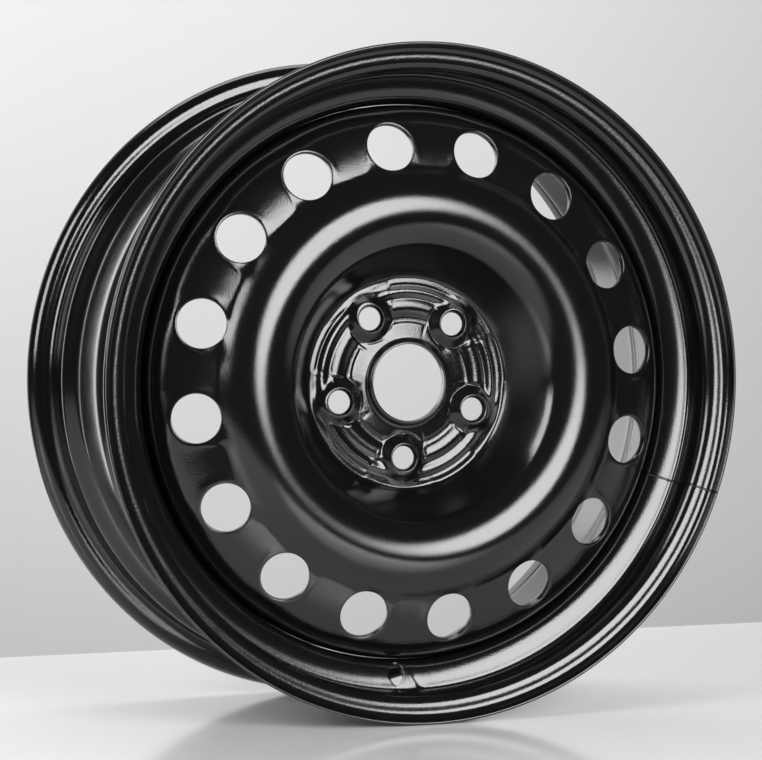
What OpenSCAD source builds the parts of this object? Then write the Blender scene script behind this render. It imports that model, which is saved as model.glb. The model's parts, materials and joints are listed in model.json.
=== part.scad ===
/* [Rim] */
// Diameter of the bead seats
seat_d = 462; // [455:0.5:470]
// Width between the two faces that hold the tyre
flange_gap = 190.5; // [185:0.5:196]
// Height of a flange above its bead seat
flange_h = 17.5; // [16.5:0.5:19]
// Width of a flange, outward from its tyre face
flange_w = 11.25; // [10.5:0.25:13]
// Radius of the flange's curl, on the tyre's side
curl_r = 9.5; // [8.5:0.25:10]
// Thickness of the rolled rim sheet
rim_t = 2.6; // [2.2:0.1:3]
// Width of a bead seat, up to its hump
seat_w = 20; // [18:0.5:22]
// Slope of the bead seats
seat_angle = 5; // [4:0.5:6]
// Height of a hump above the end of its seat
hump_h = 2; // [1.5:0.25:2.5]
// Depth of the drop well below the bead seat
well_depth = 22.4; // [20:0.2:24]
// Width of the drop well's floor
well_w = 40; // [38:1:44]
// Depth of the inboard ledge below the bead seat
ledge_depth = 9.5; // [8:0.5:11]

/* [Disc] */
// Offset of the hub face from the rim's centre plane
hub_offset = 49; // [47:0.5:51]
// Thickness of the pressed disc sheet
disc_t = 4.8; // [4.4:0.1:5]
// Diameter of the centre bore
bore_d = 57.1; // [54:0.1:58]
// Diameter of the bolt circle
bolt_circle_d = 112; // [110:0.5:114]
// Number of wheel bolts
bolt_count = 5; // [4:1:5]
// Diameter of a bolt hole
bolt_hole_d = 17; // [14:0.5:17.5]
// Included angle of the conical bolt seats
bolt_seat_angle = 60; // [60:5:90]
// Height of a bolt boss above the hub's plateau
boss_h = 4.5; // [3.5:0.25:5]
// Number of hand holes
hand_hole_count = 16; // [12:1:17]
// Diameter of a hand hole
hand_hole_d = 36; // [28:0.5:38]
// Radius of the circle that the hand holes lie on
hand_circle_r = 174.5; // [173:0.5:176]
// Slope of the sheet that carries the hand holes
band_angle = 17.5; // [16:0.5:19]
// Length of the disc's outer flange, along the axle
disc_flange_w = 34; // [30:1:36]

/* [Fixings] */
// Diameter of the valve hole
valve_hole_d = 11.6; // [11:0.1:12.5]
// Turn of the wheel from valve hole straight down
valve_turn = 3.5; // [0:0.5:20]
// Number of welds between disc and rim
weld_count = 8; // [6:1:8]
// Arc that each weld covers, in degrees
weld_arc = 24; // [12:1:30]
// Leg of a weld bead on the rim, past the disc's edge
weld_leg = 4; // [3:0.25:4.5]

/* [Hidden] */
// Facets of a full circle, and the largest turn of one facet in a section
$fn = 180;
arc_step = 9;
paint = [0.06, 0.06, 0.065];
weld_paint = [0.09, 0.09, 0.095];
// Rim section, on the tyre's side: heights are measured outboard from the centre plane
seat_r = seat_d / 2;
flange_r = seat_r + flange_h;
bead_z = flange_gap / 2;
lip_z = bead_z + flange_w;
seat_fillet = 6.5;
seat_end_r = seat_r - seat_w * tan(seat_angle);
seat_end_fillet = 4;
hump_r = seat_end_r + hump_h;
hump_rise_w = 4;
hump_rise_fillet = 5;
hump_fillet = 6;
hump_w = 9.5;
well_r = seat_r - well_depth;
well_fillet = 8;
well_wall_angle = 15;
// Outboard and inboard ends of the drop well's floor
well_front_z = bead_z - seat_w - hump_w - (hump_r - well_r) * tan(well_wall_angle);
well_back_z = well_front_z - well_w;
ledge_r = seat_r - ledge_depth;
ledge_run = 28;
ledge_front_z = well_back_z - ledge_run;
ledge_back_z = -bead_z + 2 * seat_w;
ledge_fillet = 12;
// Inner face of the drop well, where the disc is pressed in
fit_r = well_r - rim_t;
// Disc section, on the outboard side: heights are measured outboard from the hub face
plateau_z = disc_t;
collar_t = 2.95;
collar_h = 2.8;
collar_fillet = 3;
plateau_r = 46;
plateau_fillet = 4;
ridge_h = 2.8;
ridge_in_r = 51;
ridge_out_r = 60;
ridge_fillet = 6;
valley_r = 64.5;
valley_fillet = 5;
dish_foot_r = 76.8;
dish_foot_fillet = 12;
dish_break_r = 101.5;
dish_break_z = 27.5;
dish_break_fillet = 40;
// The crown's corner lies where its two slopes would meet, above the round that joins them
crown_r = 133.6;
crown_z = 63.2;
crown_fillet = 16;
band_foot_r = 158;
band_foot_fillet = 14;
hand_z = 31.8;
band_foot_z = hand_z + (hand_circle_r - band_foot_r) * tan(band_angle);
shoulder_z = hand_z - (fit_r - hand_circle_r) * tan(band_angle);
shoulder_fillet = 12;
// Bosses and bolt seats
boss_top_r = 12.2;
boss_foot_r = 18.5;
boss_hollow_in = 3;
seat_depth = 3;
// How far a cutter runs past the face that it opens
past = 1;

// Direction from point a to point b
function toward(a, b) = (b - a) / norm(b - a);
function flat(p) = [p[0], p[1]];
// Sign and size of the turn at b on the way from a to c, in degrees
function turn(a, b, c) =
    let (u = toward(a, b), v = toward(b, c))
    atan2(u[0] * v[1] - u[1] * v[0], u * v);
// Points that round corner b of the line a, b, c, where b holds its fillet radius
function corner(a, b, c) =
    let (
        p = flat(b),
        u = toward(flat(a), p),
        bend = turn(flat(a), p, flat(c)),
        reach = b[2] * tan(abs(bend) / 2),
        side = sign(bend),
        start = p - reach * u,
        centre = start + side * b[2] * [-u[1], u[0]],
        count = max(1, ceil(abs(bend) / arc_step)),
        from = start - centre
    )
    [for (i = [0:count])
        let (t = bend * i / count)
        centre + [from[0] * cos(t) - from[1] * sin(t), from[0] * sin(t) + from[1] * cos(t)]];
// A section line through all its corners, with the fillets worked in
function section_line(path) =
    [for (i = [0:len(path) - 1])
        each (i == 0 || i == len(path) - 1) ? [flat(path[i])]
            : corner(path[i - 1], path[i], path[i + 1])];
// The same corners moved to the right of the line by a sheet's thickness
function moved(path, t) =
    [for (i = [0:len(path) - 1])
        let (
            last = len(path) - 1,
            p = flat(path[i]),
            before = toward(flat(path[max(i - 1, 0)]), flat(path[max(i, 1)])),
            after = toward(flat(path[min(i, last - 1)]), flat(path[min(i + 1, last)])),
            n1 = [before[1], -before[0]],
            n2 = [after[1], -after[0]],
            side = sign(before[0] * after[1] - before[1] * after[0]),
            q = p + t * (n1 + n2) / (1 + n1 * n2)
        )
        (i == 0 || i == last) ? q : [q[0], q[1], path[i][2] + t * side]];
// Half circle round the sheet's edge, turning right from point a to point b
function edge_round(a, b) =
    let (m = (a + b) / 2, from = a - m)
    [for (i = [1:5])
        let (t = -180 * i / 6)
        m + [from[0] * cos(t) - from[1] * sin(t), from[0] * sin(t) + from[1] * cos(t)]];
// Closed outline of a sheet of thickness t whose left face follows a path
function sheet_outline(path, t) =
    let (face = section_line(path), back = section_line(moved(path, t)), last = len(back) - 1)
    concat(face, edge_round(face[len(face) - 1], back[last]),
        [for (i = [last:-1:0]) back[i]], edge_round(back[0], face[0]));

rim_path = [
    [flange_r, lip_z - rim_t / 2],
    [flange_r, bead_z, curl_r],
    [seat_r, bead_z, seat_fillet],
    [seat_end_r, bead_z - seat_w, seat_end_fillet],
    [hump_r, bead_z - seat_w - hump_rise_w, hump_rise_fillet],
    [hump_r, bead_z - seat_w - hump_w, hump_fillet],
    [well_r, well_front_z, well_fillet],
    [well_r, well_back_z, well_fillet],
    [ledge_r, ledge_front_z, ledge_fillet],
    [ledge_r, ledge_back_z, ledge_fillet],
    [hump_r, -bead_z + seat_w + hump_w, hump_fillet],
    [hump_r, -bead_z + seat_w + hump_rise_w, hump_rise_fillet],
    [seat_end_r, -bead_z + seat_w, seat_end_fillet],
    [seat_r, -bead_z, seat_fillet],
    [flange_r, -bead_z, curl_r],
    [flange_r, -lip_z + rim_t / 2]
];
disc_path = [
    [bore_d / 2 + collar_t, plateau_z + collar_h],
    [bore_d / 2 + collar_t, plateau_z, collar_fillet],
    [plateau_r, plateau_z, plateau_fillet],
    [ridge_in_r, plateau_z + ridge_h, ridge_fillet],
    [ridge_out_r, plateau_z + ridge_h, ridge_fillet],
    [valley_r, plateau_z, valley_fillet],
    [dish_foot_r, plateau_z, dish_foot_fillet],
    [dish_break_r, dish_break_z, dish_break_fillet],
    [crown_r, crown_z, crown_fillet],
    [band_foot_r, band_foot_z, band_foot_fillet],
    [fit_r, shoulder_z, shoulder_fillet],
    [fit_r, shoulder_z - disc_flange_w]
];

// Turns a piece drawn along the axle into the wheel's own frame, with the valve hole at the foot
module as_it_stands() {
    rotate([90, 0, 0]) rotate([0, 0, -valve_turn]) children();
}
// A ring of copies round the axle, where start is counted from the valve hole
module ring(count, start = 0) {
    for (i = [0:count - 1]) rotate([0, 0, -90 + start + i * 360 / count]) children();
}

module valve_hole() {
    mid_r = (hump_r + well_r) / 2 - rim_t;
    mid_z = (well_front_z + bead_z - seat_w - hump_w) / 2;
    translate([mid_r, 0, mid_z]) rotate([0, -well_wall_angle, 0])
        cylinder(d = valve_hole_d, h = 8 * rim_t, center = true, $fn = 64);
}
module rim() {
    color(paint) as_it_stands() difference() {
        rotate_extrude() polygon(sheet_outline(rim_path, rim_t));
        ring(1) valve_hole();
    }
}

module boss(wider) {
    cylinder(r1 = boss_foot_r + wider, r2 = boss_top_r + wider, h = boss_h, $fn = 64);
}
// A bolt hole with its conical seat, cut down from the top of a boss
module bolt_hole() {
    top = plateau_z + boss_h;
    mouth_d = bolt_hole_d + 2 * (seat_depth + past) * tan(bolt_seat_angle / 2);
    translate([0, 0, -past]) cylinder(d = bolt_hole_d, h = top + 2 * past, $fn = 64);
    translate([0, 0, top - seat_depth])
        cylinder(d1 = bolt_hole_d, d2 = mouth_d, h = seat_depth + past, $fn = 64);
}
module hand_hole() {
    translate([hand_circle_r, 0, hand_z]) rotate([0, band_angle, 0])
        cylinder(d = hand_hole_d, h = 8 * disc_t, center = true, $fn = 96);
}
module disc() {
    color(paint) as_it_stands() translate([0, 0, hub_offset]) difference() {
        union() {
            rotate_extrude() polygon(sheet_outline(disc_path, disc_t));
            ring(bolt_count) translate([bolt_circle_d / 2, 0, plateau_z]) boss(0);
        }
        translate([0, 0, -past])
            cylinder(d = bore_d, h = plateau_z + collar_h + disc_t);
        ring(bolt_count) translate([bolt_circle_d / 2, 0, 0]) boss(-boss_hollow_in);
        ring(bolt_count) translate([bolt_circle_d / 2, 0, 0]) bolt_hole();
        ring(hand_hole_count, 180 / hand_hole_count) hand_hole();
    }
}

// One bead in the corner between the disc's edge and the rim, run for a length of arc
module weld(i) {
    end = flat(disc_path[len(disc_path) - 1]);
    round = edge_round(end, end - [disc_t, 0]);
    toe = [fit_r, end[1] - disc_t / 2 - weld_leg];
    color(weld_paint) as_it_stands() translate([0, 0, hub_offset])
        rotate([0, 0, -90 + 360 / weld_count * (i - 0.5) - weld_arc / 2])
        rotate_extrude(angle = weld_arc) polygon([end, round[0], round[1], round[2], toe]);
}

rim();
disc();
for (i = [1:weld_count]) weld(i);
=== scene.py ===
import json
import math

import bmesh
import bpy
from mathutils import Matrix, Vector

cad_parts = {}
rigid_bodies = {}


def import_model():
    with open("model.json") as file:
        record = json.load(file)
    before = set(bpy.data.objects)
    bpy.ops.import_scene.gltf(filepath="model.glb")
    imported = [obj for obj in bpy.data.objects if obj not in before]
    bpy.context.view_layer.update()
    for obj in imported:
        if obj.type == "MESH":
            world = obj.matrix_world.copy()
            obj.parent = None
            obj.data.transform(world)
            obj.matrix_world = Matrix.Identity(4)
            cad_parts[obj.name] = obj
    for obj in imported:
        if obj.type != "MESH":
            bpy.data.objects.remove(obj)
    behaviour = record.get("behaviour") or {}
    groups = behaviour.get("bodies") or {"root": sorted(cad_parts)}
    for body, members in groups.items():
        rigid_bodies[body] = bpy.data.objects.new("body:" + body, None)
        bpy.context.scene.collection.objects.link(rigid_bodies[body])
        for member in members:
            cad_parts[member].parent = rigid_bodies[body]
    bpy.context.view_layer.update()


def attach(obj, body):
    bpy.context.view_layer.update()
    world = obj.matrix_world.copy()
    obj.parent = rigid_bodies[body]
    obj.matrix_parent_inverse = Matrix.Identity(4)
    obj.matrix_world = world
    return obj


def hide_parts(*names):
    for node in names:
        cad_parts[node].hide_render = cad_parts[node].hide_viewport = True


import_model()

# The rim: one strip of 2.6 mm sheet steel, bent to a hoop, butt welded and rolled to its section.
# From each curled flange it runs down a bead seat and over a low hump; between them lie the drop
# well, which holds the disc, and a shallower ledge behind it. Baked gloss black paint covers it all.
RIM_SHEET = 0.0026
FLANGE_R = 0.2485
# Half the width over the two lips, and half the width between the two flanges. Slopes are in degrees
LIP = 0.1065
BEAD = 0.09525
SEAT_R = 0.2310
SEAT_WIDTH = 0.020
SEAT_SLOPE = 5
SEAT_END_R = SEAT_R - SEAT_WIDTH * math.tan(math.radians(SEAT_SLOPE))
# The hump's top, and how far from the flange it begins and ends
HUMP_R = SEAT_END_R + 0.002
HUMP_START = BEAD - 0.024
HUMP_END = BEAD - 0.0295
WELL_R = 0.2086
WELL_WALL_SLOPE = 15
WELL_FRONT = HUMP_END - (HUMP_R - WELL_R) * math.tan(math.radians(WELL_WALL_SLOPE))
WELL_BACK = WELL_FRONT - 0.040
# The well's outboard wall has a slight bend on its way down, and its floor widens a little inboard
WALL_BEND_R = 0.2215
WALL_BEND = HUMP_END - 0.00085
WELL_BACK_R = WELL_R + 0.0009
LEDGE_R = 0.2215
LEDGE_FRONT = WELL_BACK - 0.028
LEDGE_BACK = -BEAD + 0.040
# Corners of the section on the tyre's side: radius, distance outboard, and the radius of the bend
OUTBOARD_SEAT = [
    (FLANGE_R, LIP - RIM_SHEET / 2),
    (FLANGE_R, BEAD, 0.0095),
    (SEAT_R, BEAD, 0.0065),
    (SEAT_END_R, BEAD - SEAT_WIDTH, 0.004),
    (HUMP_R, HUMP_START, 0.005),
    (HUMP_R, HUMP_END, 0.006),
]
WELL_AND_LEDGE = [
    (WALL_BEND_R, WALL_BEND, 0.010),
    (WELL_R, WELL_FRONT, 0.009),
    (WELL_BACK_R, WELL_BACK, 0.008),
    (LEDGE_R, LEDGE_FRONT, 0.012),
    (LEDGE_R, LEDGE_BACK, 0.012),
]
INBOARD_SEAT = [(radius, -height, *bend) for radius, height, *bend in reversed(OUTBOARD_SEAT)]
RIM_CORNERS = OUTBOARD_SEAT + WELL_AND_LEDGE + INBOARD_SEAT
# Columns of the mesh round the wheel, and the longest steps of its section in a bend and on a flat
RIM_COLUMNS = 160
RIM_STEPS = (math.radians(22), 0.011)
# The valve hole is at the foot, 3.5 degrees from straight down
VALVE_TURN = math.radians(-93.5)
VALVE_HOLE_R = 0.0058
# A flat shorter than this between two bends gets no points of its own
SHORTEST_FLAT = 0.0002
# Steps round the sheet's half round edge
EDGE_STEPS = 6
# The fine section that the holes are set on: its steps in a bend and on a flat
FINE_STEPS = (math.radians(1), 0.0005)
# Rounds in which a point beside a hole settles on the sheet
SETTLE_ROUNDS = 6


def sheet_line(corners, bend_step, flat_step):
    """A section line with its bends worked in: points as radius, height and the way out of the metal."""
    line = []
    here = Vector(corners[0][:2])
    for before, corner, after in zip(corners, corners[1:], corners[2:] + [None]):
        point = Vector(corner[:2])
        run = (point - Vector(before[:2])).normalized()
        out = Vector((-run.y, run.x))
        bend = 0.0
        reach = 0.0
        if after:
            turned = (Vector(after[:2]) - point).normalized()
            bend = math.atan2(run.x * turned.y - run.y * turned.x, run.dot(turned))
            reach = corner[2] * math.tan(abs(bend) / 2)
        start = point - reach * run
        length = (start - here).dot(run)
        if length > SHORTEST_FLAT:
            flats = math.ceil(length / flat_step)
            line += [(*here.lerp(start, k / flats), *out) for k in range(flats)]
        if not after:
            line.append((*point, *out))
            break
        side = math.copysign(corner[2], bend)
        centre = start + side * out
        steps = math.ceil(max(abs(bend) / bend_step, abs(bend) * corner[2] / flat_step))
        for k in range(steps + 1):
            turn = bend * k / steps
            way = Vector((out.x * math.cos(turn) - out.y * math.sin(turn),
                          out.x * math.sin(turn) + out.y * math.cos(turn)))
            here = centre - side * way
            if k < steps:
                line.append((*here, *way))
    return line


def behind(point, sheet):
    """The place one sheet thickness behind a point of the section line."""
    radius, height, out_r, out_h = point
    return radius - sheet * out_r, height - sheet * out_h


def back_of(point, sheet, bore, hub):
    """Where the sheet's back lies behind a point of its face; a hub is flat behind, at one height."""
    radius, height = point[:2]
    if hub and hub[0] < radius < hub[1]:
        return radius, max(height - sheet, hub[2])
    back_r, back_h = behind(point, sheet)
    return max(back_r, bore), back_h


def rolled_edge(a, b):
    """Half round edge of a sheet, turning right from the end of one face to the end of the other."""
    a = Vector(a)
    b = Vector(b)
    middle = (a + b) / 2
    arm = a - middle
    turns = [-math.pi * k / EDGE_STEPS for k in range(1, EDGE_STEPS)]
    return [(middle.x + arm.x * math.cos(t) - arm.y * math.sin(t),
             middle.y + arm.x * math.sin(t) + arm.y * math.cos(t)) for t in turns]


def place(radius, height, turn):
    """A point of the wheel: the turn is counted from the valve hole, the height is outboard."""
    angle = VALVE_TURN + turn
    return (radius * math.cos(angle), -height, radius * math.sin(angle))


class Hole:
    """A hole through a sheet of revolution, with the patch of mesh that it takes from the plain sheet.

    The patch reaches a length in and out along the section and a number of columns to each side.
    From its border the mesh closes in by blends and then by rings, each a radius and a drop below
    the sheet's surface. A form shapes the sheet round the hole.
    """

    def __init__(self, turn, radius, height, tilt, patch, cols, blends, face_rings, back_rings, form=None):
        self.turn = turn
        self.radius = radius
        self.height = height
        self.along = Vector((math.cos(tilt), math.sin(tilt)))
        self.out = Vector((-math.sin(tilt), math.cos(tilt)))
        self.patch = patch
        self.cols = cols
        self.blends = blends
        self.face_rings = face_rings
        self.back_rings = back_rings
        self.form = form

    def local(self, radius, height, turn):
        """Place of a sheet point seen along the hole: along the section, and sideways."""
        d = Vector((radius * math.cos(turn) - self.radius, height - self.height))
        return d.dot(self.along), radius * math.sin(turn)

    def on_sheet(self, profile, depth, x, y):
        """Height of the sheet's surface at a place seen along the hole, at a depth behind its face."""
        lift = 0.0
        bulge = 0.0
        # a point to the side lies further out than the section below it, by the sheet's own curve
        for _ in range(SETTLE_ROUNDS):
            lift = profile(x + bulge * self.along.x) - bulge * self.out.x
            across = self.radius + x * self.along.x + lift * self.out.x
            bulge = math.hypot(across, y) - across
        if self.form:
            lift = self.form(x, y, lift + depth, depth > 0) - depth
        return lift

    def point(self, x, y, lift):
        """Point of the wheel at a place seen along the hole and a height over its plane."""
        across = self.radius + x * self.along.x + lift * self.out.x
        height = self.height + x * self.along.y + lift * self.out.y
        return place(math.hypot(across, y), height, self.turn + math.atan2(y, across))


def profile_of(hole, line):
    """The sheet's height along the hole, as a function of the distance along the section."""
    seen = []
    for radius, height in line:
        d = Vector((radius - hole.radius, height - hole.height))
        seen.append((d.dot(hole.along), d.dot(hole.out)))

    def height_at(x):
        low = 0
        high = len(seen) - 1
        while high - low > 1:
            mid = (low + high) // 2
            if seen[mid][0] <= x:
                low = mid
            else:
                high = mid
        (x0, h0), (x1, h1) = seen[low], seen[high]
        share = min(max((x - x0) / (x1 - x0), 0.0), 1.0)
        return h0 + (h1 - h0) * share
    return height_at


def patch_rows(hole, face):
    """The first and the last row of the section that a hole's patch reaches."""
    seen = [hole.local(r, h, 0.0)[0] for r, h in face]
    near = min(range(len(face)), key=lambda k: math.dist(face[k], (hole.radius, hole.height)))
    top = near
    while top > 0 and seen[top] > -hole.patch[0]:
        top -= 1
    foot = near
    while foot < len(face) - 1 and seen[foot] < hole.patch[1]:
        foot += 1
    return top, foot


def patch_border(top, foot, left, right):
    """The rows and columns of the points round a patch, in order."""
    border = [(foot, j) for j in range(left, right)]
    border += [(k, right) for k in range(foot, top, -1)]
    border += [(top, j) for j in range(right, left, -1)]
    border += [(k, left) for k in range(top, foot)]
    return border


def band(a, b):
    """The faces between two rings of as many points."""
    count = len(a)
    return [(a[m], a[(m + 1) % count], b[(m + 1) % count], b[m]) for m in range(count)]


def close_in(hole, rings, border, border_at, profile, depth, verts, faces):
    """Meshes one side of the sheet from a patch's border to the hole, and gives the last ring back."""
    count = len(border)
    start = math.atan2(border_at[0][1], border_at[0][0])
    way = 1 if border_at[0][1] < 0 else -1
    turns = [start + way * 2 * math.pi * m / count for m in range(count)]
    # a drop goes into the sheet: down from its face, up from its back
    sign = -1 if depth else 1
    first = [(rings[0][0] * math.cos(t), rings[0][0] * math.sin(t)) for t in turns]
    stages = []
    for b in range(1, hole.blends):
        share = b / hole.blends
        stages.append(([(x0 + (x1 - x0) * share, y0 + (y1 - y0) * share)
                        for (x0, y0), (x1, y1) in zip(border_at, first)], 0.0))
    for radius, drop in rings:
        stages.append(([(radius * math.cos(t), radius * math.sin(t)) for t in turns], sign * drop))
    outer = border
    for places, drop in stages:
        ring = []
        for x, y in places:
            ring.append(len(verts))
            verts.append(hole.point(x, y, hole.on_sheet(profile, depth, x, y) - drop))
        faces += band(outer, ring)
        outer = ring
    return outer


def spin(name, corners, sheet, columns, steps, holes, bore=0.0, hub=None):
    """A sheet of revolution as one closed mesh, with its holes worked into the grid."""
    line = sheet_line(corners, *steps)
    face = [p[:2] for p in line]
    back = [back_of(p, sheet, bore, hub) for p in line]
    last_edge = rolled_edge(face[-1], behind(line[-1], sheet))
    first_edge = rolled_edge(behind(line[0], sheet), face[0])
    loop = [(max(r, bore), h) for r, h in face + last_edge + back[::-1] + first_edge]
    rows = len(loop)
    verts = [place(r, h, 2 * math.pi * j / columns) for r, h in loop for j in range(columns)]
    fine = sheet_line(corners, *FINE_STEPS)
    fine_face = [p[:2] for p in fine]
    fine_back = [back_of(p, sheet, 0.0, hub) for p in fine]
    # for each side of the sheet: the loop's row at the section's row k, its fine section, its depth
    last_row = 2 * len(face) + EDGE_STEPS - 2
    sides = [(lambda k: k, fine_face, 0.0), (lambda k: last_row - k, fine_back, sheet)]
    taken = set()
    faces = []
    for hole in holes:
        middle = round(hole.turn / (2 * math.pi) * columns)
        left = middle - hole.cols
        right = middle + hole.cols
        top, foot = patch_rows(hole, face)
        tunnel = []
        for row, section, depth in sides:
            taken |= {(min(row(k), row(k + 1)), j % columns)
                      for k in range(top, foot) for j in range(left, right)}
            border = []
            border_at = []
            for k, j in patch_border(top, foot, left, right):
                border.append(row(k) * columns + j % columns)
                border_at.append(hole.local(*loop[row(k)], 2 * math.pi * j / columns - hole.turn))
            rings = hole.back_rings if depth else hole.face_rings
            profile = profile_of(hole, section)
            tunnel.append(close_in(hole, rings, border, border_at, profile, depth, verts, faces))
        faces += band(*tunnel)
    for k in range(rows):
        for j in range(columns):
            if (k, j) not in taken:
                a = k * columns
                b = (k + 1) % rows * columns
                beside = (j + 1) % columns
                faces.append((a + j, b + j, b + beside, a + beside))
    return finish_mesh(name, verts, faces)


def finish_mesh(name, verts, faces):
    """Drops the points that no face uses, turns every face outwards and rounds the mesh once."""
    used = sorted({v for f in faces for v in f})
    number = {v: n for n, v in enumerate(used)}
    mesh = bpy.data.meshes.new(name)
    mesh.from_pydata([verts[v] for v in used], [], [[number[v] for v in f] for f in faces])
    mesh.validate()
    work = bmesh.new()
    work.from_mesh(mesh)
    bmesh.ops.recalc_face_normals(work, faces=work.faces)
    work.to_mesh(mesh)
    work.free()
    mesh.shade_smooth()
    piece = bpy.data.objects.new(name, mesh)
    bpy.context.scene.collection.objects.link(piece)
    rounding = piece.modifiers.new("rounding", "SUBSURF")
    rounding.levels = 1
    rounding.render_levels = 1
    return piece


BLACK = (0.0035, 0.0035, 0.0037, 1)
PAINT_IOR = 1.58
# The paint's gloss varies a little from place to place, over some 17 mm
GLOSSIEST = 0.10
DULLEST = 0.15
CLOUDS_PER_METRE = 60
PEEL_DEPTH = 0.0002
# The dressed butt weld: its bearing, up from the right as seen from outboard, half its width, its height
SEAM_BEARING = math.radians(-20)
SEAM_HALF = 0.0011
SEAM_HEIGHT = 0.0003


def paint_node(paint, kind, values):
    """A node of a paint, with the values that its sockets get."""
    made = paint.node_tree.nodes.new(kind)
    for socket, value in values.items():
        made.inputs[socket].default_value = value
    return made


def black_paint(name, peel, peel_size):
    """Gloss black baked paint, with a faint orange peel and a gloss that varies a little."""
    paint = bpy.data.materials.new(name)
    paint.use_nodes = True
    links = paint.node_tree.links
    shader = paint.node_tree.nodes["Principled BSDF"]
    shader.inputs["Base Color"].default_value = BLACK
    shader.inputs["IOR"].default_value = PAINT_IOR
    where = paint_node(paint, "ShaderNodeTexCoord", {})
    speck = paint_node(paint, "ShaderNodeTexNoise", {"Scale": 1 / peel_size, "Detail": 3})
    links.new(where.outputs["Object"], speck.inputs["Vector"])
    peeled = paint_node(paint, "ShaderNodeBump", {"Strength": peel, "Distance": PEEL_DEPTH})
    links.new(speck.outputs["Fac"], peeled.inputs["Height"])
    links.new(peeled.outputs["Normal"], shader.inputs["Normal"])
    cloud = paint_node(paint, "ShaderNodeTexNoise", {"Scale": CLOUDS_PER_METRE})
    links.new(where.outputs["Object"], cloud.inputs["Vector"])
    gloss = paint_node(paint, "ShaderNodeMapRange", {"To Min": GLOSSIEST, "To Max": DULLEST})
    links.new(cloud.outputs["Fac"], gloss.inputs["Value"])
    links.new(gloss.outputs["Result"], shader.inputs["Roughness"])
    return paint


def raise_seam(paint, bearing):
    """Raises the dressed weld under the paint: a low line across the strip, at one bearing."""
    links = paint.node_tree.links
    where = paint_node(paint, "ShaderNodeTexCoord", {})
    across = paint_node(paint, "ShaderNodeVectorMath", {1: (math.sin(bearing), 0, -math.cos(bearing))})
    across.operation = "DOT_PRODUCT"
    links.new(where.outputs["Object"], across.inputs[0])
    apart = paint_node(paint, "ShaderNodeMath", {})
    apart.operation = "ABSOLUTE"
    links.new(across.outputs["Value"], apart.inputs[0])
    ridge = paint_node(paint, "ShaderNodeMapRange", {"From Max": SEAM_HALF, "To Min": 1, "To Max": 0})
    ridge.interpolation_type = "SMOOTHSTEP"
    links.new(apart.outputs["Value"], ridge.inputs["Value"])
    axes = paint_node(paint, "ShaderNodeSeparateXYZ", {})
    links.new(where.outputs["Object"], axes.inputs["Vector"])
    right_side = paint_node(paint, "ShaderNodeMath", {1: 0})
    right_side.operation = "GREATER_THAN"
    links.new(axes.outputs["X"], right_side.inputs[0])
    dressed = paint_node(paint, "ShaderNodeMath", {})
    dressed.operation = "MULTIPLY"
    links.new(ridge.outputs["Result"], dressed.inputs[0])
    links.new(right_side.outputs["Value"], dressed.inputs[1])
    raised = paint_node(paint, "ShaderNodeBump", {"Distance": SEAM_HEIGHT})
    links.new(dressed.outputs["Value"], raised.inputs["Height"])
    normal = paint.node_tree.nodes["Principled BSDF"].inputs["Normal"]
    links.new(normal.links[0].from_socket, raised.inputs["Normal"])
    links.new(raised.outputs["Normal"], normal)


valve_hole = Hole(
    turn=0.0, radius=(HUMP_R + WELL_R) / 2, height=(HUMP_END + WELL_FRONT) / 2,
    tilt=math.radians(-90 - WELL_WALL_SLOPE), patch=(0.0085, 0.0085), cols=2, blends=3,
    face_rings=[(0.0066, 0.0), (0.0059, 0.0002), (VALVE_HOLE_R, 0.0008)],
    back_rings=[(0.0068, 0.0), (0.0060, 0.0001), (VALVE_HOLE_R, 0.0007)])
rim = spin("rolled_rim", RIM_CORNERS, RIM_SHEET, RIM_COLUMNS, RIM_STEPS, [valve_hole])
rim_paint = black_paint("rim_black", peel=0.25, peel_size=0.0012)
raise_seam(rim_paint, SEAM_BEARING)
rim.data.materials.append(rim_paint)
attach(rim, "root")
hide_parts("rim")

# The disc: one pressing of 4.8 mm sheet steel, pressed into the drop well and welded there.
# A flat hub with a collared bore and five bossed bolt seats lies in a deep dish; round the dish
# runs a high crown, and outside it a sloped band with sixteen punched hand holes.
DISC_SHEET = 0.0048
# Distance outboard of the hub's flat back, and the radii between which the hub is flat behind
HUB = 0.049
HUB_FLAT_FROM = 0.033
HUB_FLAT_TO = 0.077
BORE_R = 0.02855
BOLTS = 5
BOLT_CIRCLE_R = 0.056
BOLT_HOLE_R = 0.0085
HAND_HOLES = 16
HAND_CIRCLE_R = 0.1745
HAND_HOLE_R = 0.018
# Heights are over the hub's back. The band slopes down to the rim, and is bowed a little outboard
HAND_HEIGHT = 0.0318
BAND_SLOPE = math.radians(17.5)
BAND_BOW = math.radians(5.5)
BAND_FOOT_R = 0.158
BAND_TOP = HAND_HEIGHT + 0.0007
BAND_FOOT = BAND_TOP + (HAND_CIRCLE_R - BAND_FOOT_R) * math.tan(BAND_SLOPE - BAND_BOW)
# The outer flange fits into the drop well, and its edge ends where the welds begin
FIT_R = WELL_R - RIM_SHEET
SHOULDER = BAND_TOP - (FIT_R - HAND_CIRCLE_R) * math.tan(BAND_SLOPE + BAND_BOW)
FLANGE_LENGTH = 0.034
FLANGE_END = HAND_HEIGHT - (FIT_R - HAND_CIRCLE_R) * math.tan(BAND_SLOPE) - FLANGE_LENGTH
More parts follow.
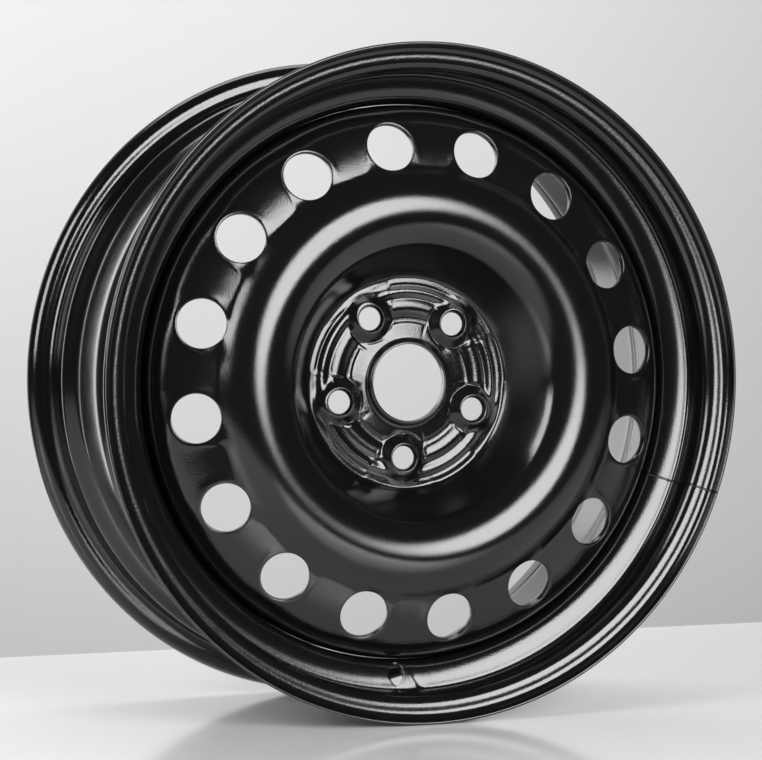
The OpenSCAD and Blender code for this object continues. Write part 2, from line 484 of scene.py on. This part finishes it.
# Relief of the hub from the collar to the dish: radius, height over a plain sheet, radius of the bend
HUB_RELIEF = [
    (0.0315, 0.0028),  # lip of the collar round the bore
    (0.0315, 0.0007, 0.0025),  # foot of the collar
    (0.0440, 0.0001, 0.0008),  # edge of the plateau, which falls outward
    (0.0455, -0.0009, 0.0015),  # the low step round the plateau, from here
    (0.0490, -0.0009, 0.004),  # to here
    (0.0555, 0.0026, 0.012),  # inner ring
    (0.0625, 0.0002, 0.0025),  # valley between the rings
    (0.0680, 0.0022, 0.005),  # outer ring
    (0.0722, -0.0001, 0.0015),  # groove outside it
    (0.0745, 0.0003, 0.003),  # low ridge
    (0.0792, -0.0001, 0.003),  # foot of the dish's wall
]
DISH_AND_CROWN = [
    (0.1012, 0.0385, 0.014),  # break of the wall
    (0.1285, 0.0604, 0.037),  # crown
    (BAND_FOOT_R, BAND_FOOT, 0.006),
    (HAND_CIRCLE_R, BAND_TOP, 0.150),
    (FIT_R, SHOULDER, 0.022),
    (FIT_R, FLANGE_END),
]
DISC_CORNERS = [(radius, DISC_SHEET + rise + HUB, *bend) for radius, rise, *bend in HUB_RELIEF]
DISC_CORNERS += [(radius, height + HUB, *bend) for radius, height, *bend in DISH_AND_CROWN]
DISC_COLUMNS = 96
DISC_STEPS = (math.radians(23.5), 0.012)
# A boss is a cone from a flat top, drawn out on the side of the dish, with a low step on the bore's side
BOSS_HEIGHT = 0.0045
BOSS_TOP_R = 0.0108
BOSS_RUN = 0.0065
BOSS_TOP_FILLET = 0.0012
BOSS_DRAWN_OUT = 0.86
BOSS_FILLET_IN = 0.0010
BOSS_FILLET_OUT = 0.0020
BOSS_STEP_R = 0.0192
BOSS_STEP_HEIGHT = -0.0009
BOSS_STEP_FADE = 0.0012
BOSS_STEP_SIDE_FADE = 0.004
# The pad coined round a hand hole takes most of the bow out of the band, but not on the crown's side
PAD_R = 0.0265
PAD_FADE = 0.0055
PAD_START = -0.012
PAD_START_FADE = 0.008
PAD_SHARE = 0.9


def blend_up(a, b, soft):
    """The higher of two heights, with a fillet where they meet."""
    share = max(soft - abs(a - b), 0.0) / soft
    return max(a, b) + share * share * soft / 4


def ramp(run, width):
    """Nothing before the run begins, all from one width on."""
    return min(max(run / width, 0.0), 1.0)


def boss_form(x, y, lift, behind_face):
    """A bolt boss: a cone raised from the hub as the sheet is pressed, with a low step round its foot."""
    out = math.hypot(x * (BOSS_DRAWN_OUT if x > 0 else 1.0), y)
    fall = BOSS_HEIGHT / BOSS_RUN * blend_up(out - BOSS_TOP_R, 0.0, BOSS_TOP_FILLET)
    near = ramp(BOSS_STEP_R - out, BOSS_STEP_FADE) * ramp(-x, BOSS_STEP_SIDE_FADE)
    ground = lift + (min(lift, BOSS_STEP_HEIGHT) - lift) * near
    level = blend_up(ground, BOSS_HEIGHT - fall, BOSS_FILLET_IN if x < 0 else BOSS_FILLET_OUT)
    return max(level, 0.0) if behind_face else level


def pad_form(x, y, lift, behind_face):
    """A hand hole is coined flat round its edge, on the rim's side of the band."""
    near = ramp(PAD_R - math.hypot(x, y), PAD_FADE)
    near = near * near * (3 - 2 * near)
    return lift * (1 - near * ramp(x - PAD_START, PAD_START_FADE) * PAD_SHARE)


bolt_holes = [Hole(
    turn=2 * math.pi * i / BOLTS, radius=BOLT_CIRCLE_R, height=HUB + DISC_SHEET, tilt=0.0,
    patch=(0.0205, 0.0235), cols=6, blends=6, form=boss_form,
    face_rings=[(0.0175, 0), (0.016, 0), (0.0145, 0), (0.0132, 0), (0.0122, 0), (0.0112, 0), (0.0104, 0),
                (0.0101, 0.0002), (0.0093, 0.0016), (0.0086, 0.0029), (BOLT_HOLE_R, 0.0034)],
    back_rings=[(0.0165, 0), (0.0145, 0), (0.0125, 0), (0.011, 0), (0.0095, 0), (0.0088, 0.0001),
                (BOLT_HOLE_R, 0.0006)])
    for i in range(BOLTS)]
hand_holes = [Hole(
    turn=2 * math.pi * (i + 0.5) / HAND_HOLES, radius=HAND_CIRCLE_R, height=HUB + HAND_HEIGHT,
    tilt=-BAND_SLOPE, patch=(0.0225, 0.0225), cols=2, blends=2, form=pad_form,
    face_rings=[(0.0205, 0), (0.0192, 0), (0.0184, 0.0001), (0.0181, 0.0004), (HAND_HOLE_R, 0.0011)],
    back_rings=[(0.0200, 0), (0.0186, 0), (0.0181, 0.0002), (HAND_HOLE_R, 0.0008)])
    for i in range(HAND_HOLES)]
disc = spin("pressed_disc", DISC_CORNERS, DISC_SHEET, DISC_COLUMNS, DISC_STEPS, bolt_holes + hand_holes,
            bore=BORE_R, hub=(HUB_FLAT_FROM, HUB_FLAT_TO, HUB))
disc.data.materials.append(black_paint("disc_black", peel=0.35, peel_size=0.0011))
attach(disc, "root")
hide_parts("disc")

# The welds: eight short beads behind the disc, where its edge meets the floor of the drop well.
# They are laid before painting, so the ripples of the bead show through the same black paint.
weld_paint = black_paint("weld_black", peel=0.6, peel_size=0.0016)
for node in bpy.data.objects:
    if node.type == "MESH" and node.name.startswith("weld_"):
        node.data.materials.clear()
        node.data.materials.append(weld_paint)

# The wheel stands on a plain pale table with a smooth top, in front of a plain pale wall.
# The table ends 0.66 m before the wheel's centre, so that the wheel's lower faces mirror the dark room.
PALE = (0.88, 0.88, 0.885, 1)
TABLE_SIZE = (6, 1.06)
TABLE_AT = (0, -0.13, -FLANGE_R)
WALL_SIZE = (9, 5)
WALL_AT = (0, 2.4, 1.0)

stage_white = bpy.data.materials.new("stage_white")
stage_white.use_nodes = True
white = stage_white.node_tree.nodes["Principled BSDF"]
white.inputs["Base Color"].default_value = PALE
white.inputs["Roughness"].default_value = 0.12


def stage_sheet(name, at, upright, size):
    """A flat sheet of the stage, turned up by so many degrees."""
    bpy.ops.mesh.primitive_plane_add(size=1, location=at, rotation=(math.radians(upright), 0, 0))
    sheet = bpy.context.object
    sheet.name = name
    sheet.scale = (*size, 1)
    sheet.data.materials.append(stage_white)


stage_sheet("table", TABLE_AT, 0, TABLE_SIZE)
stage_sheet("wall", WALL_AT, 90, WALL_SIZE)

# The lights: an oval key box in front, a tall box on the left, a weak one behind on the left, and
# one above the back of the table, for the wall. A faint even light fills the rest of the room.
ROOM_LIGHT = 0.06
ROOM_COLOUR = (0.8, 0.8, 0.8, 1)


def softbox(name, at, aim, width, height, power, shape="RECTANGLE"):
    """A flat lamp at one place that faces another, with its power in watts."""
    light = bpy.data.lights.new(name, "AREA")
    light.shape = shape
    light.size = width
    light.size_y = height
    light.energy = power
    lamp = bpy.data.objects.new(name, light)
    lamp.location = at
    lamp.rotation_euler = (Vector(aim) - Vector(at)).to_track_quat("-Z", "Y").to_euler()
    bpy.context.scene.collection.objects.link(lamp)


def box_at(name, bearing, rise, far, width, height, glow, shape="RECTANGLE"):
    """A softbox seen from the wheel at a bearing and a height in degrees, which faces the wheel."""
    bearing = math.radians(bearing)
    rise = math.radians(rise)
    at = (far * math.sin(bearing) * math.cos(rise), -far * math.cos(bearing) * math.cos(rise),
          far * math.sin(rise))
    softbox(name, at, (0, 0, 0), width, height, glow * math.pi * width * height, shape)


box_at("key_box", 9.0, 14.0, far=2.6, width=1.6, height=1.7, glow=9.6, shape="ELLIPSE")
box_at("left_box", -64, 22, far=2.4, width=1.0, height=1.5, glow=9)
box_at("rear_box", -155, 6, far=2.3, width=1.3, height=1.9, glow=2.2)
softbox("back_box", (0.5, 0.9, 1.75), aim=(0.75, 1.7, 0.0), width=2.2, height=1.4, power=30)
world = bpy.data.worlds.new("studio")
world.use_nodes = True
world.node_tree.nodes["Background"].inputs["Color"].default_value = ROOM_COLOUR
world.node_tree.nodes["Background"].inputs["Strength"].default_value = ROOM_LIGHT
bpy.context.scene.world = world

# The camera looks from the left of the axle, about 2.2 m off and just over the wheel's centre.
CAMERA_AT = (-0.8072, -2.0400, 0.0602)
CAMERA_DIP = 1.564
CAMERA_BEARING = -21.606
SENSOR_WIDTH = 36
LENS = 136.33
camera_data = bpy.data.cameras.new("camera")
camera_data.sensor_width = SENSOR_WIDTH
camera_data.lens = LENS
camera = bpy.data.objects.new("camera", camera_data)
camera.location = CAMERA_AT
camera.rotation_euler = (math.radians(90 - CAMERA_DIP), 0, math.radians(CAMERA_BEARING))
bpy.context.scene.collection.objects.link(camera)
bpy.context.scene.camera = camera
bpy.context.scene.view_settings.view_transform = "Standard"
